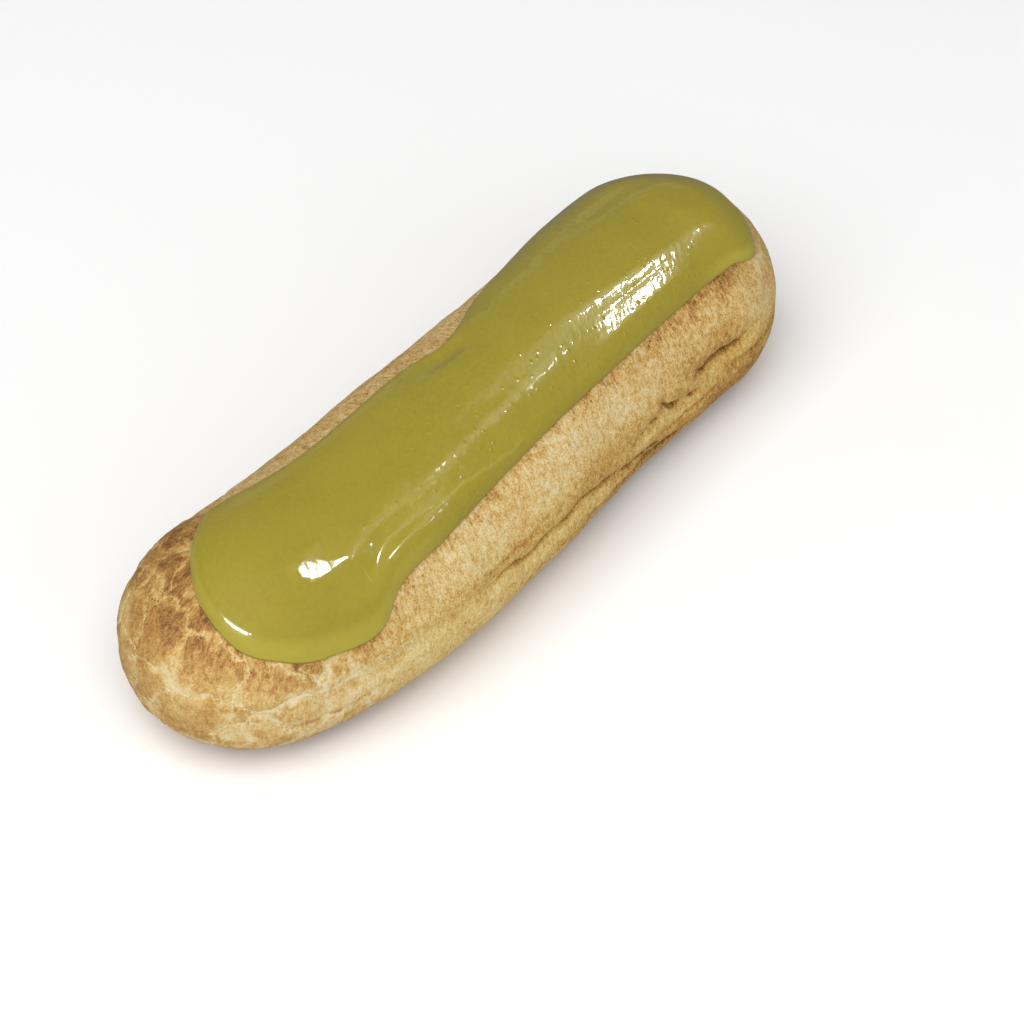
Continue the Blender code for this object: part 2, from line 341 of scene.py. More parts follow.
# ---------------------------------------------------------------------------------------------------------
# Skins: dense grids closed round the edge, with what the finishes need stored on them
# ---------------------------------------------------------------------------------------------------------
def choux_skin(place, row):
    """Points of the crust's grid: the base from its middle out, up the side, and in under the icing."""
    edge_share = abs(cos(BASE_EDGE)) ** (2 / FOOT_POWER)
    angles = np.concatenate((
        np.full(BASE_ROWS, BASE_EDGE),
        np.linspace(BASE_EDGE, FOLDS_FROM, FOOT_ROWS),
        np.linspace(FOLDS_FROM, FOLDS_TO, FOLD_ROWS + 1)[1:],
        np.linspace(FOLDS_TO, SIDE_TOP, CROWN_ROWS + 1)[1:],
        np.linspace(SIDE_TOP, pi / 2, UNDER_ICING_ROWS + 1)[1:],
    ))
    angle = angles[row]
    x, dx, dy = edge_frame(place)
    up = np.sin(angle)
    power = np.where(up >= 0, CROWN_POWER, FOOT_POWER)
    share = np.abs(np.cos(angle)) ** (2 / power)
    share = np.where(row < BASE_ROWS, edge_share * row / BASE_ROWS, share)
    share = np.where(row == len(angles) - 1, 0.0, share)
    lift = np.abs(up) ** (2 / power)
    lift = np.where(up >= 0, (1 - WAIST_SHARE) * lift, -WAIST_SHARE * FOOT_DEPTH * lift)
    z = np.maximum(ridge_height(x) * (WAIST_SHARE + lift), 0.0)
    z = np.where(row < BASE_ROWS, 0.0, z)
    reach = smooth_line(place, SIDE_REACH, closed=True) * share
    on_side = share > FOLDS_OUT_FROM
    reach = reach - np.where(on_side, fold_depth(place, z) + slit_depth(place, z), 0.0)
    return np.stack((x + dx * reach, dy * reach, z), axis=-1)


def icing_skin(place, row):
    """Points of the icing's grid: out along its underside, round its lip and back over its top."""
    x, dx, dy = edge_frame(place)
    reach = smooth_line(place, ICING_REACH, closed=True)
    under = row <= UNDERSIDE_ROWS
    lip_turn = np.clip((row - UNDERSIDE_ROWS) / LIP_ROWS, 0, 1) * pi / 2
    inset = RIM_WIDTH * (1 - np.cos(lip_turn))
    back = np.clip((row - UNDERSIDE_ROWS - LIP_ROWS) / TOP_ROWS, 0, 1)
    over = (reach - RIM_WIDTH) * (1 - back)
    below = reach * (1 - np.clip(1 - row / UNDERSIDE_ROWS, 0, 1) ** UNDERSIDE_CROWDING)
    distance = np.where(under, below, np.where(back > 0, over, reach - inset))
    x, y = x + dx * distance, dy * distance
    inset = reach - distance
    lip = (1 - np.clip(1 - inset / RIM_WIDTH, 0, 1) ** LIP_POWER) ** (1 / LIP_POWER)
    thick = np.where(under, 0.0, lip * (icing_thickness(place, inset) + icing_set(x, y, inset)))
    return np.stack((x, y, crown_height(x, y) + GAP + thick), axis=-1)


def closed_skin(name, columns, rows, skin):
    """A grid bent round into a closed skin, with its row numbers kept in the attribute "row"."""
    mesh = bpy.data.meshes.new(name)
    bm = bmesh.new()
    bmesh.ops.create_grid(bm, x_segments=columns, y_segments=rows, size=1.0)
    flat = np.array([vert.co[:2] for vert in bm.verts]) * 0.5 + 0.5
    column = np.mod(np.rint(flat[:, 0] * columns), columns)
    row = np.rint(flat[:, 1] * rows).astype(int)
    points = (skin(column / columns * EDGE, row) - MIDDLE) * MM
    kept = bm.verts.layers.float.new("row")
    for vert, point, number in zip(bm.verts, points, row):
        vert.co = point
        vert[kept] = number
    bmesh.ops.remove_doubles(bm, verts=bm.verts, dist=WELD)
    bmesh.ops.recalc_face_normals(bm, faces=bm.faces)
    bm.to_mesh(mesh)
    bm.free()
    mesh.shade_smooth()
    obj = bpy.data.objects.new(name, mesh)
    bpy.context.scene.collection.objects.link(obj)
    return obj


def body_middle():
    """The middle of the choux's box in the outlines' own coordinates, which the frame has at its origin."""
    place = np.linspace(0, EDGE, BOX_STEPS)
    x, dx, dy = edge_frame(place)
    reach = smooth_line(place, SIDE_REACH, closed=True)
    x, y = x + dx * reach, dy * reach
    return np.array(((x.min() + x.max()) / 2, (y.min() + y.max()) / 2, 0.0))


MIDDLE = body_middle()


def points_of(mesh):
    """A mesh's points in the outlines' own coordinates, in millimetres."""
    points = np.empty(len(mesh.vertices) * 3)
    mesh.vertices.foreach_get("co", points)
    return points.reshape(-1, 3) / MM + MIDDLE


def store(mesh, name, values, kind="FLOAT"):
    attribute = mesh.attributes.new(name, kind, "POINT")
    key = "vector" if kind == "FLOAT_VECTOR" else "value"
    attribute.data.foreach_set(key, np.asarray(values, np.float32).ravel())


def mark_crust(mesh):
    """Stores what the crust's relief and colours follow.

    grain_at: metres round the edge and up the side, in which the fibres of the crust lie straight.
    bare: 1 where the crust is in the open, 0 under the icing and on the base.
    near_icing: millimetres out from the icing's edge.
    fold: how deep in a fold or a wrinkle a point is, 0 to 1.
    browned: how much darker than usual a point is, with painted shade and painted light.
    """
    x, y, z = points_of(mesh).T
    place, distance = edge_place(x, y)
    spine_x, dx, dy = edge_frame(place)
    reach = smooth_line(place, SIDE_REACH, closed=True)
    above = z > WAIST_SHARE * ridge_height(x)
    height = np.where(above, z + (reach - distance) * OVER_CROWN, z)
    store(mesh, "grain_at", np.stack((spine_x + dx * ROUND, dy * ROUND, height), -1) * MM, "FLOAT_VECTOR")
    outside = np.where(above, distance, reach) - smooth_line(place, ICING_REACH, closed=True)
    store(mesh, "near_icing", outside)
    bare = np.clip(outside / BARE_FADE + BARE_AT_ICING, 0, 1)
    store(mesh, "bare", bare * np.clip(z / BASE_FADE, 0, 1))
    fold = np.clip(fold_depth(place, z) * FOLD_SHARE + slit_depth(place, z) * SLIT_SHARE, 0, 1)
    store(mesh, "fold", np.where(distance > reach * FOLDS_OUT_FROM, fold, 0.0))
    store(mesh, "browned", browning_and_shade(place, z) - LIP_PAINTED_LIGHT * painted_light_below_fold(place, z))


def mark_icing(mesh):
    """Stores what the icing's relief and colours follow.

    top: 1 on the upper side, 0 underneath.
    inset: millimetres in from the edge.
    film_edge: 1 along the fine line where a second, thinner flow of icing stopped short of the front edge.
    """
    x, y, _ = points_of(mesh).T
    place, distance = edge_place(x, y)
    row = np.empty(len(mesh.vertices))
    mesh.attributes["row"].data.foreach_get("value", row)
    store(mesh, "top", np.clip((row - UNDERSIDE_ROWS) / LIP_ROWS, 0, 1))
    inset = smooth_line(place, ICING_REACH, closed=True) - distance
    store(mesh, "inset", inset)
    wander = FILM_AT + 0.15 * np.sin(place * 0.35) + 0.10 * np.sin(place * 1.3)
    part = np.clip((place - FILM_FROM) / FILM_FADE, 0, 1) * np.clip((FILM_TO - place) / FILM_FADE, 0, 1)
    store(mesh, "film_edge", part * np.exp(-(((distance - wander) / FILM_LINE) ** 2)))


# ---------------------------------------------------------------------------------------------------------
# Node trees
# ---------------------------------------------------------------------------------------------------------
FLOAT = "NodeSocketFloat"
VECTOR = "NodeSocketVector"
COLOUR = "NodeSocketColor"
GEOMETRY = "NodeSocketGeometry"
# A mix node has a socket of each name for every kind of value, so its colour ones are known by their numbers.
MIX_SHARE = 0
MIX_FIRST = 6
MIX_SECOND = 7
MIX_COLOUR = 2


def join(tree, socket, value):
    """Joins an input to another node's socket, or sets it to a value."""
    if isinstance(value, bpy.types.NodeSocket):
        tree.links.new(value, socket)
    else:
        socket.default_value = value


def add(tree, kind, inputs=None, **settings):
    """A node with its settings, and its inputs joined to a socket or set to a value."""
    made = tree.nodes.new(kind)
    for key, value in settings.items():
        setattr(made, key, value)
    for key, value in (inputs or {}).items():
        join(tree, made.inputs[key], value)
    return made


def calc(tree, operation, *values, clamp=False):
    inputs = dict(enumerate(values))
    return add(tree, "ShaderNodeMath", inputs, operation=operation, use_clamp=clamp).outputs[0]


def vector_calc(tree, operation, *values):
    node = add(tree, "ShaderNodeVectorMath", operation=operation)
    for index, value in enumerate(values):
        join(tree, node.inputs["Scale" if operation == "SCALE" and index == 1 else index], value)
    return node.outputs["Value" if operation == "LENGTH" else "Vector"]


def ramp(tree, value, low, high, start=0.0, end=1.0, kind="SMOOTHSTEP"):
    """value's way from low to high, turned into a way from start to end and held there outside."""
    node = add(
        tree,
        "ShaderNodeMapRange",
        {"Value": value, "From Min": low, "From Max": high, "To Min": start, "To Max": end},
        interpolation_type=kind,
    )
    return node.outputs["Result"]


def per_metre(tree, size):
    """How many forms of a size in metres fit into a metre, for a texture's Scale."""
    return calc(tree, "DIVIDE", 1.0, size)


def noise(tree, at, size, detail=2.0, roughness=0.5, distortion=0.0):
    """Soft noise, mostly between 0.3 and 0.7, whose forms are about a size in metres across."""
    inputs = {"Vector": at, "Scale": per_metre(tree, size), "Detail": detail}
    inputs.update({"Roughness": roughness, "Distortion": distortion})
    return add(tree, "ShaderNodeTexNoise", inputs).outputs[0]


def cells(tree, at, size, feature="F1"):
    """Voronoi cells of a size in metres. Outputs are Distance and, except at the edge, Color."""
    inputs = {"Vector": at, "Scale": per_metre(tree, size)}
    return add(tree, "ShaderNodeTexVoronoi", inputs, feature=feature).outputs


def split(tree, vector, index):
    """One of a vector's or a colour's three values."""
    return add(tree, "ShaderNodeSeparateXYZ", {"Vector": vector}).outputs[index]


def blend_colours(tree, share, first, second, mode="MIX"):
    node = add(tree, "ShaderNodeMix", data_type="RGBA", blend_type=mode)
    for index, value in ((MIX_SHARE, share), (MIX_FIRST, first), (MIX_SECOND, second)):
        join(tree, node.inputs[index], (*value, 1.0) if isinstance(value, tuple) else value)
    return node.outputs[MIX_COLOUR]


def new_group(name, kind, inputs, outputs):
    """A node group with (name, socket type, default) inputs and (name, socket type) outputs."""
    tree = bpy.data.node_groups.new(name, kind)
    for label, socket, default in inputs:
        made = tree.interface.new_socket(label, in_out="INPUT", socket_type=socket)
        if default is not None:
            made.default_value = default
    for label, socket in outputs:
        tree.interface.new_socket(label, in_out="OUTPUT", socket_type=socket)
    start = tree.nodes.new("NodeGroupInput")
    end = tree.nodes.new("NodeGroupOutput")
    return tree, start.outputs, end.inputs


def apply_tree(obj, tree, **values):
    """Runs a geometry tree on an object, with its named inputs set, and keeps the result as a plain mesh."""
    modifier = obj.modifiers.new(tree.name, "NODES")
    modifier.node_group = tree
    for item in tree.interface.items_tree:
        key = item.name.lower().replace(" ", "_")
        if item.item_type == "SOCKET" and item.in_out == "INPUT" and key in values:
            modifier[item.identifier] = values[key]
    graph = bpy.context.evaluated_depsgraph_get()
    shaped = bpy.data.meshes.new_from_object(obj.evaluated_get(graph))
    obj.modifiers.remove(modifier)
    obj.data = shaped
    return obj


def named(tree, name, kind="FLOAT"):
    node = add(tree, "GeometryNodeInputNamedAttribute", {"Name": name}, data_type=kind)
    return node.outputs["Attribute"]


def push_out(tree, geometry, height):
    """The geometry with each point pushed along its normal by a height in metres."""
    offset = vector_calc(tree, "SCALE", add(tree, "GeometryNodeInputNormal").outputs[0], height)
    return add(tree, "GeometryNodeSetPosition", {"Geometry": geometry, "Offset": offset}).outputs[0]


# ---------------------------------------------------------------------------------------------------------
# Relief of the crust and the icing. Sizes are in metres.
# ---------------------------------------------------------------------------------------------------------
# The web of pale cracks between browned patches: the patches' size, how far and how often their borders bend,
# how wide the cracks and their cores are as a share of a patch, over what lengths their width and their gaps
# change, and how much the core and the whole width count.
PATCH_SIZE = 0.0100
BEND_REACH = 0.009
BENDS_PER_METRE = 170.0
CRACK_NARROW = 0.04
CRACK_WIDE = 0.27
CRACK_CORE = 0.05
WIDTH_CHANGE = 0.005
GAP_CHANGE = 0.009
CORE_SHARE = 0.3
BROAD_SHARE = 0.9
# Along X, where the web starts and where it is whole, and the share of it that the far end has.
NEAR_WEB = (-0.034, -0.056)
FAR_WEB = (0.050, 0.066)
FAR_WEB_SHARE = 0.5
# The crust's relief, and the share of the cracks' depth that is left between the ends. A pit's radius is a
# share of the spacing, and a cell has a pit where its random value is above PIT_ABOVE.
CRUST_RELIEF = {
    "lump_height": 0.0012, "lump_size": 0.014, "crack_depth": 0.00028, "patch_size": PATCH_SIZE,
    "fibre_height": 0.00014, "fibre_size": 0.0018, "pit_depth": 0.0003, "pit_spacing": 0.0032,
}
SIDE_CRACKS = 0.15
PIT_RADIUS = 0.28
PIT_ABOVE = 0.72
# The noise values that stay on the plain form. They are above the noise's average, so lumps and fibres are
# mostly hollows and the crust keeps within its outline.
LUMP_LEVEL = 0.62
FIBRE_LEVEL = 0.6
# The icing's relief, between which places along X its orange-peel fades in at each end, and how much of it
# the ends have.
ICING_RELIEF = {"wave_height": 0.0007, "wave_size": 0.020, "peel_height": 0.00010, "peel_size": 0.0017}
PEEL_NEAR = (-0.045, -0.005)
PEEL_FAR = (0.062, 0.045)
PEEL_LEAST = 0.15


def crack_web(tree, at, patch_size):
    """The cracks between browned patches: their strength, the distance from one, and which ends have them."""
    inputs = {"Vector": at, "Scale": BENDS_PER_METRE, "Detail": 6.0, "Roughness": 0.68}
    bend = add(tree, "ShaderNodeTexNoise", inputs).outputs["Color"]
    bend = vector_calc(tree, "SUBTRACT", bend, (0.5, 0.5, 0.5))
    bent = vector_calc(tree, "ADD", at, vector_calc(tree, "SCALE", bend, BEND_REACH))
    crack = cells(tree, bent, patch_size, "DISTANCE_TO_EDGE")["Distance"]
    width = ramp(tree, noise(tree, at, WIDTH_CHANGE), 0.35, 0.65, CRACK_NARROW, CRACK_WIDE)
    broad = calc(tree, "SUBTRACT", 1.0, calc(tree, "DIVIDE", crack, width), clamp=True)
    core = ramp(tree, crack, 0.0, CRACK_CORE, 1.0, 0.0)
    kept = ramp(tree, noise(tree, at, GAP_CHANGE), 0.30, 0.48)
    web = calc(tree, "MULTIPLY_ADD", core, CORE_SHARE, calc(tree, "MULTIPLY", broad, BROAD_SHARE))
    web = calc(tree, "MULTIPLY", web, kept)
    x = split(tree, at, 0)
    near_end = ramp(tree, x, *NEAR_WEB)
    ends = calc(tree, "MULTIPLY_ADD", ramp(tree, x, *FAR_WEB), FAR_WEB_SHARE, near_end, clamp=True)
    return web, crack, ends


def crust_relief():
    """Lumps, the web of cracks between browned patches, fibres and pits, pushed along the normal."""
    tree, given, result = new_group(
        "crust_relief",
        "GeometryNodeTree",
        (
            ("Geometry", GEOMETRY, None),
            ("Lump Height", FLOAT, 0.0),
            ("Lump Size", FLOAT, 0.016),
            ("Crack Depth", FLOAT, 0.0),
            ("Patch Size", FLOAT, 0.01),
            ("Fibre Height", FLOAT, 0.0),
            ("Fibre Size", FLOAT, 0.002),
            ("Pit Depth", FLOAT, 0.0),
            ("Pit Spacing", FLOAT, 0.003),
        ),
        (("Geometry", GEOMETRY),),
    )
    at = add(tree, "GeometryNodeInputPosition").outputs[0]
    lump = noise(tree, at, given["Lump Size"], detail=4.0, roughness=0.6)
    lumps = calc(tree, "MULTIPLY", calc(tree, "SUBTRACT", lump, LUMP_LEVEL), given["Lump Height"])

    web, _, ends = crack_web(tree, at, given["Patch Size"])
    ends = calc(tree, "MULTIPLY_ADD", ends, 1 - SIDE_CRACKS, SIDE_CRACKS)
    cracks = calc(tree, "MULTIPLY", calc(tree, "MULTIPLY", web, ends), given["Crack Depth"])

    grain = vector_calc(tree, "MULTIPLY", named(tree, "grain_at", "FLOAT_VECTOR"), (1.0, 1.0, 0.45))
    fibre = noise(tree, grain, given["Fibre Size"], roughness=0.6)
    fibres = calc(tree, "MULTIPLY", calc(tree, "SUBTRACT", fibre, FIBRE_LEVEL), given["Fibre Height"])

    dimple = cells(tree, at, given["Pit Spacing"])
    bowl = ramp(tree, dimple["Distance"], 0.0, PIT_RADIUS, 1.0, 0.0)
    chosen = calc(tree, "GREATER_THAN", split(tree, dimple["Color"], 0), PIT_ABOVE)
    pits = calc(tree, "MULTIPLY", calc(tree, "MULTIPLY", bowl, chosen), given["Pit Depth"])

    height = calc(tree, "ADD", lumps, fibres)
    height = calc(tree, "SUBTRACT", calc(tree, "SUBTRACT", height, cracks), pits)
    height = calc(tree, "MULTIPLY", height, named(tree, "bare"))
    tree.links.new(push_out(tree, given["Geometry"], height), result["Geometry"])
    return tree


def icing_relief():
    """The slow waves of icing that set as it ran, and the orange-peel that breaks up its reflections."""
    tree, given, result = new_group(
        "icing_relief",
        "GeometryNodeTree",
        (
            ("Geometry", GEOMETRY, None),
            ("Wave Height", FLOAT, 0.0),
            ("Wave Size", FLOAT, 0.02),
            ("Peel Height", FLOAT, 0.0),
            ("Peel Size", FLOAT, 0.0016),
        ),
        (("Geometry", GEOMETRY),),
    )
    at = add(tree, "GeometryNodeInputPosition").outputs[0]
    wave = noise(tree, at, given["Wave Size"], detail=1.0)
    waves = calc(tree, "MULTIPLY", calc(tree, "SUBTRACT", wave, 0.5), given["Wave Height"])
    x = split(tree, at, 0)
    middle = calc(tree, "MULTIPLY", ramp(tree, x, *PEEL_NEAR), ramp(tree, x, *PEEL_FAR))
    peel = calc(tree, "SUBTRACT", noise(tree, at, given["Peel Size"], roughness=0.6), 0.5)
    peel = calc(tree, "MULTIPLY", peel, given["Peel Height"])
    peel = calc(tree, "MULTIPLY", peel, calc(tree, "MULTIPLY_ADD", middle, 1 - PEEL_LEAST, PEEL_LEAST))
    height = calc(tree, "MULTIPLY", calc(tree, "ADD", waves, peel), named(tree, "top"))
    tree.links.new(push_out(tree, given["Geometry"], height), result["Geometry"])
    return tree


# ---------------------------------------------------------------------------------------------------------
# Finishes. Colours are linear, sizes in metres.
# ---------------------------------------------------------------------------------------------------------
def srgb(*values):
    """A linear colour from the 0 to 255 values that a paint chart gives."""
    shares = (value / 255 for value in values)
    return tuple(v / 12.92 if v <= 0.04045 else ((v + 0.055) / 1.055) ** 2.4 for v in shares)


# The colours of choux as it browns, and where each lies on the browning scale from 0 to 1.
BAKED_COLOURS = (
    (0.00, srgb(218, 202, 163)),
    (0.25, srgb(208, 185, 131)),
    (0.48, srgb(195, 159, 92)),
    (0.68, srgb(173, 129, 66)),
    (0.85, srgb(144, 102, 52)),
    (1.00, srgb(112, 76, 40)),
)
# The side below the crown is yellower: the tint, and the heights between which it comes in.
YOLK = (1.0, 0.98, 0.78)
YOLK_HEIGHTS = (0.026, 0.018)
# Where the crust lies on the browning scale, and how far each effect moves it along the scale.
USUAL_BROWNING = 0.42
OVEN_BROWNING_AND_PAINTED_LIGHT = 0.40
SLOW_BROWNING = 0.10
MIDDLING_BROWNING = 0.13
FINE_BROWNING = 0.56
FINE_CHANGE_AT_ENDS = -0.20
STRAND_BROWNING = 0.16
END_BROWNING = 0.10
CRACK_BROWNING = -0.36
# The crust is darker towards the base: partly browning, partly painted shade where it meets the floor.
FOOT_BROWNING_AND_SHADE = 0.40
# The folds are darker: partly browning, partly painted shade in the fold.
FOLD_BROWNING_AND_SHADE = 0.46
SPECK_BROWNING = 0.34
# Painted shade just under the icing's rim, mottled.
UNDER_RIM_SHADE = 0.14
# How large those effects are, and the heights between which the foot darkens. The strands and the painted
# shade under the rim set in between two distances out from the icing, in millimetres.
SLOW_SIZE = 0.010
MIDDLING_SIZE = 0.0028
FINE_FIBRE = 0.0008
FINE_GRAIN = 0.00032
STRAND_SIZE = 0.0006
SPECK_SIZE = 0.0009
FOOT_HEIGHTS = (0.0055, 0.0005)
STRAND_FADE = (7.0, 2.0)
UNDER_RIM = (2.2, 0.3)
# A cell has a speck where its random value is above SPECK_ABOVE, which is lower under the rim, in folds and
# in cracks. The speck's soft edge lies between two shares of the cell.
SPECK_ABOVE = 0.985
SPECK_EDGE = (0.34, 0.12)
SPECKS_UNDER_RIM = 0.12
SPECKS_IN_FOLDS = 0.3
SPECKS_IN_CRACKS = 0.45
# The fine browning's average, how rough the crust is from its palest to its brownest grain, how strongly it
# mirrors, and its bump.
FINE_AVERAGE = 0.48
CRUST_ROUGHNESS = (0.60, 0.78)
CRUST_SPECULAR = 0.25
CRUST_BUMP_STRENGTH = 0.55
CRUST_BUMP = 0.00022
# How much the mottle's fibres, grains and threads count in it, and how fine a thread is.
FIBRE_PART = 0.52
GRAIN_PART = 0.48
THREAD_PART = 0.20
BETWEEN_THREADS = 0.88
THREAD_EDGE = 0.09

ICING = srgb(150, 136, 43)
ICING_DEEP = srgb(143, 129, 38)
# Paler icing: small lighter specks of its own, and the colour of the painted light on the rim and the film's
# edge.
ICING_PALE_AND_PAINTED_LIGHT = srgb(184, 171, 62)
# How much of the deeper and the lighter icing is mixed in, and over what sizes.
DEEP_SHARE = 0.5
DEEP_SIZE = 0.012
LIGHT_SHARE = 0.10
LIGHT_SIZE = 0.0008
# Painted light: the thin rim at both tips is paler where its lip faces the light, and the film's edge has a
# painted highlight. How far in from the edge, in millimetres, between which places along X at each end, and
# how much.
PAINTED_LIGHT_RIM = (1.4, 0.2)
PAINTED_LIGHT_NEAR = (-0.020, -0.045)
PAINTED_LIGHT_FAR = (0.044, 0.058)
PAINTED_LIGHT_RIM_SHARE = 0.5
PAINTED_HIGHLIGHT_FILM_SHARE = 0.26
# The strokes and blisters in the icing's skin: between which places along X they fade in at each end, how
# much of them the ends have, the strokes' direction, the sizes, and their shares and the film edge's share of
# the bump's height. A blister's radius is a share of its cell, whose random value says how high it stands.
DRAWN_NEAR = (-0.046, -0.020)
DRAWN_FAR = (0.058, 0.046)
DRAWN_LEAST = 0.38
STROKE_ANGLE = radians(-56)
STROKE_WIDTH = 0.0012
STROKE_SHARE = 0.5
BLISTER_SIZE = 0.0015
BLISTER_RADIUS = 0.32
BLISTER_RANDOM = (0.4, 0.7)
BLISTER_SHARE = 0.6
FILM_SHARE = 0.6
ICING_BUMP = 0.00016
ICING_SHINE = {
    "Roughness": 0.32,
    "Specular IOR Level": 0.22,
    "Coat Weight": 0.70,
    "Coat Roughness": 0.06,
    "Subsurface Weight": 0.10,
    "Subsurface Radius": (1.0, 0.9, 0.3),
    "Subsurface Scale": 0.0010,
}


def baked_mottle():
    """Fine uneven browning, 0 to 1: short fibres, the fine threads between them, and grains."""
    tree, given, result = new_group(
        "baked_mottle",
        "ShaderNodeTree",
        (("Vector", VECTOR, None), ("Fibre Size", FLOAT, 0.0014), ("Grain Size", FLOAT, 0.0005)),
        (("Value", FLOAT),),
    )
    stretched = vector_calc(tree, "MULTIPLY", given["Vector"], (1.0, 1.0, 0.6))
    fibre = noise(tree, stretched, given["Fibre Size"], detail=3.0, roughness=0.65, distortion=0.4)
    aside = vector_calc(tree, "ADD", stretched, (0.7, 0.2, 0.4))
    wound = noise(tree, aside, given["Fibre Size"], detail=1.0, distortion=0.6)
    off_thread = calc(tree, "ABSOLUTE", calc(tree, "SUBTRACT", wound, 0.5))
    thread = ramp(tree, off_thread, 0.0, THREAD_EDGE, 1.0, 0.0)
    grain = noise(tree, given["Vector"], given["Grain Size"])
    fibres = calc(tree, "MULTIPLY", fibre, FIBRE_PART)
    value = calc(tree, "ADD", fibres, calc(tree, "MULTIPLY", grain, GRAIN_PART))
    value = calc(tree, "MULTIPLY", ramp(tree, value, 0.38, 0.62, kind="LINEAR"), BETWEEN_THREADS)
    value = calc(tree, "MULTIPLY_ADD", thread, THREAD_PART, value, clamp=True)
    tree.links.new(value, result["Value"])
    return tree


def cloud():
    """Slow unevenness between 0 and 1."""
    tree, given, result = new_group(
        "cloud", "ShaderNodeTree", (("Vector", VECTOR, None), ("Size", FLOAT, 0.01)), (("Value", FLOAT),)
    )
    value = noise(tree, given["Vector"], given["Size"], detail=3.0)
    tree.links.new(ramp(tree, value, 0.32, 0.68), result["Value"])
    return tree


def spread_strokes():
    """Short strokes left where the icing was drawn across: 0 to 1, longer along Angle than across it."""
    tree, given, result = new_group(
        "spread_strokes",
        "ShaderNodeTree",
        (("Vector", VECTOR, None), ("Angle", FLOAT, 0.0), ("Width", FLOAT, 0.0008)),
        (("Value", FLOAT),),
    )
    inputs = {"Vector": given["Vector"], "Angle": given["Angle"]}
    turned = add(tree, "ShaderNodeVectorRotate", inputs, rotation_type="Z_AXIS").outputs[0]
    drawn = vector_calc(tree, "MULTIPLY", turned, (0.38, 1.0, 0.38))
    tree.links.new(noise(tree, drawn, given["Width"]), result["Value"])
    return tree


def browning_scale():
    """The colours of choux as it browns: cream at 0, gold about the middle, scorched at 1."""
    tree, given, result = new_group(
        "browning_scale", "ShaderNodeTree", (("Browned", FLOAT, 0.5),), (("Color", COLOUR),)
    )
    scale = add(tree, "ShaderNodeValToRGB", {"Fac": given["Browned"]})
    stops = scale.color_ramp.elements
    for position, _ in BAKED_COLOURS[1:-1]:
        stops.new(position)
    for stop, (_, colour) in zip(stops, BAKED_COLOURS):
        stop.color = (*colour, 1.0)
    tree.links.new(scale.outputs["Color"], result["Color"])
    return tree


def use_group(tree, group, **inputs):
    node = tree.nodes.new("ShaderNodeGroup")
    node.node_tree = group
    for label, value in inputs.items():
        join(tree, node.inputs[label.replace("_", " ")], value)
    return node.outputs[0]


def new_material(name):
    material = bpy.data.materials.new(name)
    material.use_nodes = True
    tree = material.node_tree
    return material, tree, tree.nodes["Principled BSDF"]


def attribute(tree, name, output="Fac"):
    return add(tree, "ShaderNodeAttribute", attribute_name=name).outputs[output]


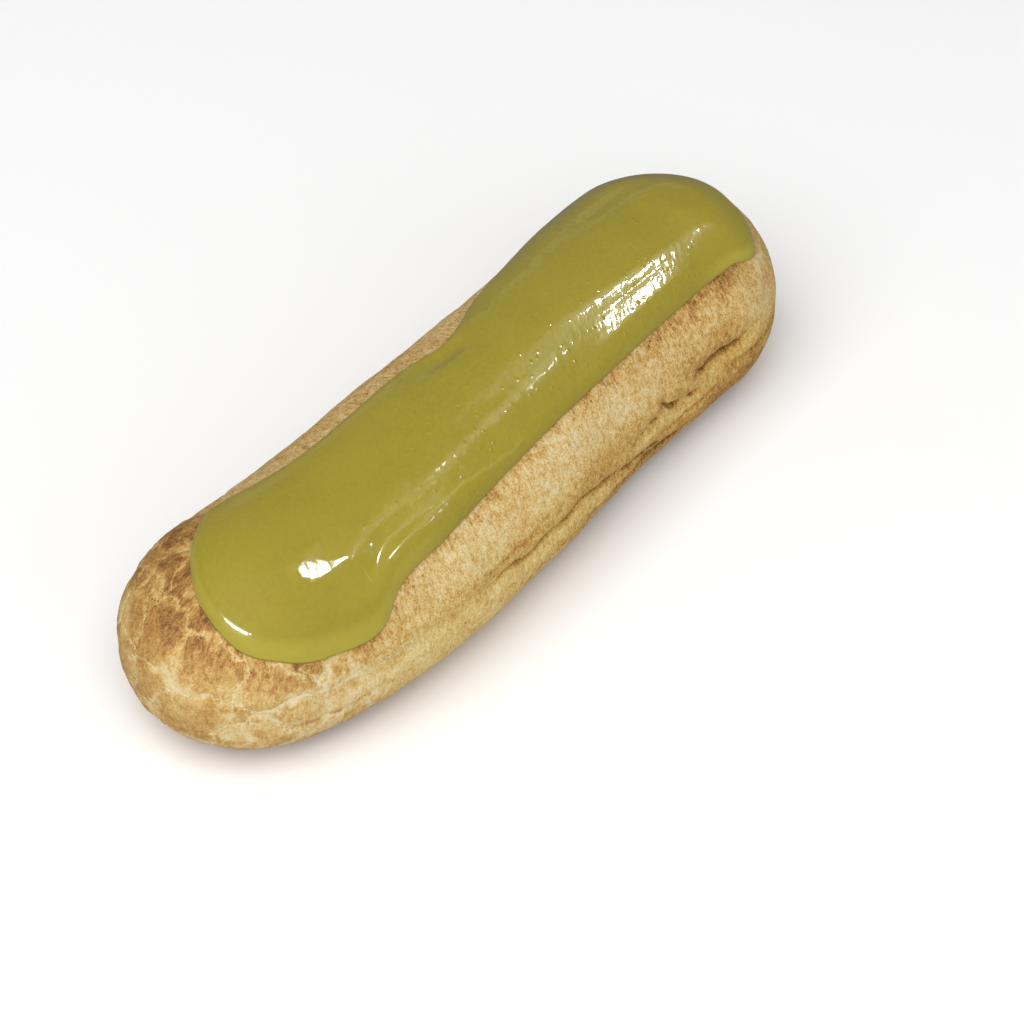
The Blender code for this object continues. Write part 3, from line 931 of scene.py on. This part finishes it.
def crust_material(mottle, clouds, scale):
    material, tree, shader = new_material("choux_crust")
    at = add(tree, "ShaderNodeTexCoord").outputs["Object"]
    grain_at = attribute(tree, "grain_at", "Vector")
    near_icing = attribute(tree, "near_icing")
    fold = attribute(tree, "fold")
    z = split(tree, at, 2)

    fine = use_group(tree, mottle, Vector=grain_at, Fibre_Size=FINE_FIBRE, Grain_Size=FINE_GRAIN)
    slow = use_group(tree, clouds, Vector=at, Size=SLOW_SIZE)
    middling = use_group(tree, clouds, Vector=at, Size=MIDDLING_SIZE)
    web, crack, ends = crack_web(tree, at, PATCH_SIZE)
    strand_at = vector_calc(tree, "MULTIPLY", grain_at, (1.0, 1.0, 0.28))
    strand = ramp(tree, noise(tree, strand_at, STRAND_SIZE), 0.35, 0.65)
    strand = calc(tree, "MULTIPLY", calc(tree, "SUBTRACT", strand, 0.5), ramp(tree, near_icing, *STRAND_FADE))
    # Just under the icing's rim: more specks, and painted shade.
    under_rim = ramp(tree, near_icing, *UNDER_RIM)

    speck = cells(tree, at, SPECK_SIZE)
    in_cracks = calc(tree, "MULTIPLY", ramp(tree, crack, CRACK_CORE, 0.0), ends)
    likely = calc(tree, "MULTIPLY", fold, SPECKS_IN_FOLDS)
    likely = calc(tree, "MULTIPLY_ADD", under_rim, SPECKS_UNDER_RIM, likely)
    likely = calc(tree, "MULTIPLY_ADD", in_cracks, SPECKS_IN_CRACKS, likely)
    least = calc(tree, "SUBTRACT", SPECK_ABOVE, likely)
    chosen = calc(tree, "GREATER_THAN", split(tree, speck["Color"], 0), least)
    dot = calc(tree, "MULTIPLY", ramp(tree, speck["Distance"], *SPECK_EDGE), chosen)

    fine_browning = calc(tree, "MULTIPLY_ADD", ends, FINE_CHANGE_AT_ENDS, FINE_BROWNING)
    # The stored value carries painted shade on the far front and under the rim, and painted light below the
    # folds.
    value = USUAL_BROWNING
    for effect, strength in (
        (attribute(tree, "browned"), OVEN_BROWNING_AND_PAINTED_LIGHT),
        (calc(tree, "SUBTRACT", slow, 0.5), SLOW_BROWNING),
        (calc(tree, "SUBTRACT", middling, 0.5), MIDDLING_BROWNING),
        (calc(tree, "SUBTRACT", fine, FINE_AVERAGE), fine_browning),
        (strand, STRAND_BROWNING),
        (ends, END_BROWNING),
        (calc(tree, "MULTIPLY", web, ends), CRACK_BROWNING),
        (ramp(tree, z, *FOOT_HEIGHTS), FOOT_BROWNING_AND_SHADE),
        (fold, FOLD_BROWNING_AND_SHADE),
        (dot, SPECK_BROWNING),
        (calc(tree, "MULTIPLY", under_rim, middling), UNDER_RIM_SHADE),
    ):
        value = calc(tree, "MULTIPLY_ADD", effect, strength, value)

    yellow = calc(tree, "MULTIPLY", ramp(tree, z, *YOLK_HEIGHTS), calc(tree, "SUBTRACT", 1.0, ends))
    colour = blend_colours(tree, yellow, use_group(tree, scale, Browned=value), YOLK, mode="MULTIPLY")
    relief = calc(tree, "SUBTRACT", calc(tree, "MULTIPLY", fine, -1.0), dot)
    inputs = {"Height": relief, "Strength": CRUST_BUMP_STRENGTH, "Distance": CRUST_BUMP}
    bump = add(tree, "ShaderNodeBump", inputs)
    tree.links.new(colour, shader.inputs["Base Color"])
    tree.links.new(ramp(tree, fine, 0.0, 1.0, *CRUST_ROUGHNESS), shader.inputs["Roughness"])
    tree.links.new(bump.outputs["Normal"], shader.inputs["Normal"])
    shader.inputs["Specular IOR Level"].default_value = CRUST_SPECULAR
    return material


def icing_material(clouds, strokes):
    material, tree, shader = new_material("pistachio_icing")
    at = add(tree, "ShaderNodeTexCoord").outputs["Object"]
    x = split(tree, at, 0)
    film_edge = attribute(tree, "film_edge")
    slow = use_group(tree, clouds, Vector=at, Size=DEEP_SIZE)
    small = use_group(tree, clouds, Vector=at, Size=LIGHT_SIZE)
    # Painted light on the lip of the rim at both tips, and a painted highlight along the film's edge.
    tips = calc(tree, "ADD", ramp(tree, x, *PAINTED_LIGHT_NEAR), ramp(tree, x, *PAINTED_LIGHT_FAR))
    rim = calc(tree, "MULTIPLY", ramp(tree, attribute(tree, "inset"), *PAINTED_LIGHT_RIM), tips)
    colour = blend_colours(tree, calc(tree, "MULTIPLY", slow, DEEP_SHARE), ICING, ICING_DEEP)
    for where, share in ((small, LIGHT_SHARE), (rim, PAINTED_LIGHT_RIM_SHARE), (film_edge, PAINTED_HIGHLIGHT_FILM_SHARE)):
        colour = blend_colours(tree, calc(tree, "MULTIPLY", where, share), colour, ICING_PALE_AND_PAINTED_LIGHT)

    drawn = calc(tree, "MULTIPLY", ramp(tree, x, *DRAWN_NEAR), ramp(tree, x, *DRAWN_FAR))
    drawn = calc(tree, "MULTIPLY_ADD", drawn, 1 - DRAWN_LEAST, DRAWN_LEAST)
    stroke = use_group(tree, strokes, Vector=at, Angle=STROKE_ANGLE, Width=STROKE_WIDTH)
    blister = cells(tree, at, BLISTER_SIZE)
    raised = ramp(tree, split(tree, blister["Color"], 0), *BLISTER_RANDOM)
    dome = calc(tree, "MULTIPLY", ramp(tree, blister["Distance"], BLISTER_RADIUS, 0.0), raised)
    relief = calc(tree, "MULTIPLY_ADD", dome, BLISTER_SHARE, calc(tree, "MULTIPLY", stroke, STROKE_SHARE))
    relief = calc(tree, "MULTIPLY_ADD", film_edge, FILM_SHARE, calc(tree, "MULTIPLY", relief, drawn))
    bump = add(tree, "ShaderNodeBump", {"Height": relief, "Strength": 1.0, "Distance": ICING_BUMP})
    tree.links.new(colour, shader.inputs["Base Color"])
    tree.links.new(bump.outputs["Normal"], shader.inputs["Normal"])
    tree.links.new(bump.outputs["Normal"], shader.inputs["Coat Normal"])
    for label, value in ICING_SHINE.items():
        shader.inputs[label].default_value = value
    return material


# ---------------------------------------------------------------------------------------------------------
# Pieces
# ---------------------------------------------------------------------------------------------------------
def make_choux():
    rows = BASE_ROWS + FOOT_ROWS + FOLD_ROWS + CROWN_ROWS + UNDER_ICING_ROWS - 1
    obj = closed_skin("choux_body", CRUST_COLUMNS, rows, choux_skin)
    mark_crust(obj.data)
    return apply_tree(obj, crust_relief(), **CRUST_RELIEF)


def make_icing():
    rows = UNDERSIDE_ROWS + LIP_ROWS + TOP_ROWS
    obj = closed_skin("icing_top", ICING_COLUMNS, rows, icing_skin)
    mark_icing(obj.data)
    return apply_tree(obj, icing_relief(), **ICING_RELIEF)


# ---------------------------------------------------------------------------------------------------------
# Floor, light and camera. Lengths are in metres, powers in watts and angles in degrees.
# ---------------------------------------------------------------------------------------------------------
FLOOR_SIZE = 6.0
FLOOR_GREY = (0.9, 0.9, 0.9, 1.0)
FLOOR_ROUGHNESS = 0.9
WHITE = (1.0, 1.0, 1.0, 1.0)
# Far from the eclair the floor glows for the camera alone, so that low views keep a pale ground up to the
# horizon: the distances between which the glow grows, and its strength.
GLOW_FROM = 0.6
GLOW_TO = 2.4
GLOW = 0.64
# How bright the surroundings light the pieces, how bright glossy surfaces mirror them, and how much brighter
# the camera sees them.
SKY = 0.30
SKY_IN_GLOSS = 0.17
SKY_SEEN_MORE = 0.62

# Where the softboxes point: at the eclair, at the icing's shine at its far end, near end and middle, at where
# that breaks up into dots, at the ridge beside the near end, and at the near tip.
ECLAIR = (0.0, 0.0, 0.02)
FAR_SHINE = (0.038, -0.0085, 0.037)
NEAR_SHINE = (-0.0515, -0.0108, 0.0366)
MIDDLE_SHINE = (0.0, -0.011, 0.037)
DOTTED_SHINE = (0.010, -0.011, 0.037)
RIDGE_SHINE = (-0.0318, -0.0172, 0.0334)
NEAR_TIP = (-0.065, -0.01, 0.03)
# Name, place, size, power, where it points, what it is seen by, and the spread of its beam.
SOFTBOXES = (
    ("overhead", (-0.50, -0.18, 1.00), (1.3, 1.3), 16.0, ECLAIR, "matt", 180),
    ("front_fill", (-0.10, -1.10, 0.55), (1.2, 0.7), 2.8, ECLAIR, "matt", 180),
    ("key", (0.172, -0.093, 0.221), (0.036, 0.028), 0.0010, FAR_SHINE, "gloss", 6),
    ("near_key", (0.118, -0.236, 0.452), (0.056, 0.056), 0.0013, NEAR_SHINE, "gloss", 3.4),
    ("band", (0.271, -0.145, 0.459), (0.30, 0.14), 0.10, MIDDLE_SHINE, "gloss", 180),
    ("glints", (0.116, -0.088, 0.284), (0.036, 0.022), 0.0017, DOTTED_SHINE, "gloss", 9),
    ("ridge_key", (0.238, -0.300, 0.300), (0.014, 0.014), 0.00002, RIDGE_SHINE, "gloss", 2),
    ("near_strip", (-0.72, -0.17, 0.16), (0.42, 0.17), 6.0, NEAR_TIP, "gloss", 180),
    ("rear_strip", (0.54, 0.56, 0.24), (0.50, 0.10), 0.04, ECLAIR, "gloss", 180),
)

CAMERA_AZIMUTH = -48.911
CAMERA_ELEVATION = 46.299
CAMERA_DISTANCE = 0.690371
LOOK_AT_MM = (-4.937, -13.688, 15.0)
LENS_MM = 140.24
SENSOR_MM = 36.0
CLIP_START = 0.05


def make_floor():
    bpy.ops.mesh.primitive_plane_add(size=FLOOR_SIZE, location=(0, 0, 0))
    floor = bpy.context.object
    floor.name = "floor"
    material, tree, shader = new_material("pale_floor")
    away = vector_calc(tree, "LENGTH", add(tree, "ShaderNodeTexCoord").outputs["Object"])
    seen = add(tree, "ShaderNodeLightPath").outputs["Is Camera Ray"]
    glow = calc(tree, "MULTIPLY", seen, ramp(tree, away, GLOW_FROM, GLOW_TO, 0.0, GLOW))
    tree.links.new(glow, shader.inputs["Emission Strength"])
    shader.inputs["Emission Color"].default_value = WHITE
    shader.inputs["Base Color"].default_value = FLOOR_GREY
    shader.inputs["Roughness"].default_value = FLOOR_ROUGHNESS
    floor.data.materials.append(material)
    floor.visible_glossy = False


def make_softbox(name, at, size, watts, aim, seen_by, spread):
    """A rectangular light which faces a point.

    Seen by "gloss" it is left out of the soft light, and seen by "matt" it is left out of the reflections.
    The spread is the angle of its beam, which a honeycomb grid narrows.
    """
    light = bpy.data.lights.new(name, "AREA")
    light.shape = "RECTANGLE"
    light.size, light.size_y = size
    light.energy = watts
    light.spread = radians(spread)
    obj = bpy.data.objects.new(name, light)
    obj.location = at
    obj.rotation_euler = (Vector(at) - Vector(aim)).to_track_quat("Z", "Y").to_euler()
    obj.visible_camera = False
    obj.visible_diffuse = seen_by == "matt"
    obj.visible_glossy = seen_by == "gloss"
    bpy.context.scene.collection.objects.link(obj)


def make_surroundings():
    world = bpy.data.worlds.new("studio")
    world.use_nodes = True
    tree = world.node_tree
    seen_by = add(tree, "ShaderNodeLightPath").outputs
    strength = ramp(tree, seen_by["Is Glossy Ray"], 0.0, 1.0, SKY, SKY_IN_GLOSS)
    strength = calc(tree, "MULTIPLY_ADD", seen_by["Is Camera Ray"], SKY_SEEN_MORE, strength)
    background = tree.nodes["Background"]
    background.inputs["Color"].default_value = WHITE
    tree.links.new(strength, background.inputs["Strength"])
    bpy.context.scene.world = world
    bpy.context.scene.view_settings.view_transform = "Standard"


def make_camera():
    """Looks down across the near end's corner, from a good way off."""
    azimuth, elevation = radians(CAMERA_AZIMUTH), radians(CAMERA_ELEVATION)
    back = Vector((sin(azimuth) * cos(elevation), -cos(azimuth) * cos(elevation), sin(elevation)))
    look_at = (Vector(LOOK_AT_MM) - Vector(MIDDLE)) * MM
    camera = bpy.data.cameras.new("camera")
    camera.sensor_width = SENSOR_MM
    camera.lens = LENS_MM
    camera.clip_start = CLIP_START
    obj = bpy.data.objects.new("camera", camera)
    obj.location = look_at + back * CAMERA_DISTANCE
    obj.rotation_euler = back.to_track_quat("Z", "Y").to_euler()
    bpy.context.scene.collection.objects.link(obj)
    bpy.context.scene.camera = obj


def main():
    make_camera()
    for softbox in SOFTBOXES:
        make_softbox(*softbox)
    make_surroundings()
    make_floor()
    clouds = cloud()
    crust = crust_material(baked_mottle(), clouds, browning_scale())
    glaze = icing_material(clouds, spread_strokes())
    choux, icing = make_choux(), make_icing()
    for piece, material, node in ((choux, crust, "choux"), (icing, glaze, "icing")):
        piece.data.materials.clear()
        piece.data.materials.append(material)
        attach(piece, "root")
        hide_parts(node)


main()
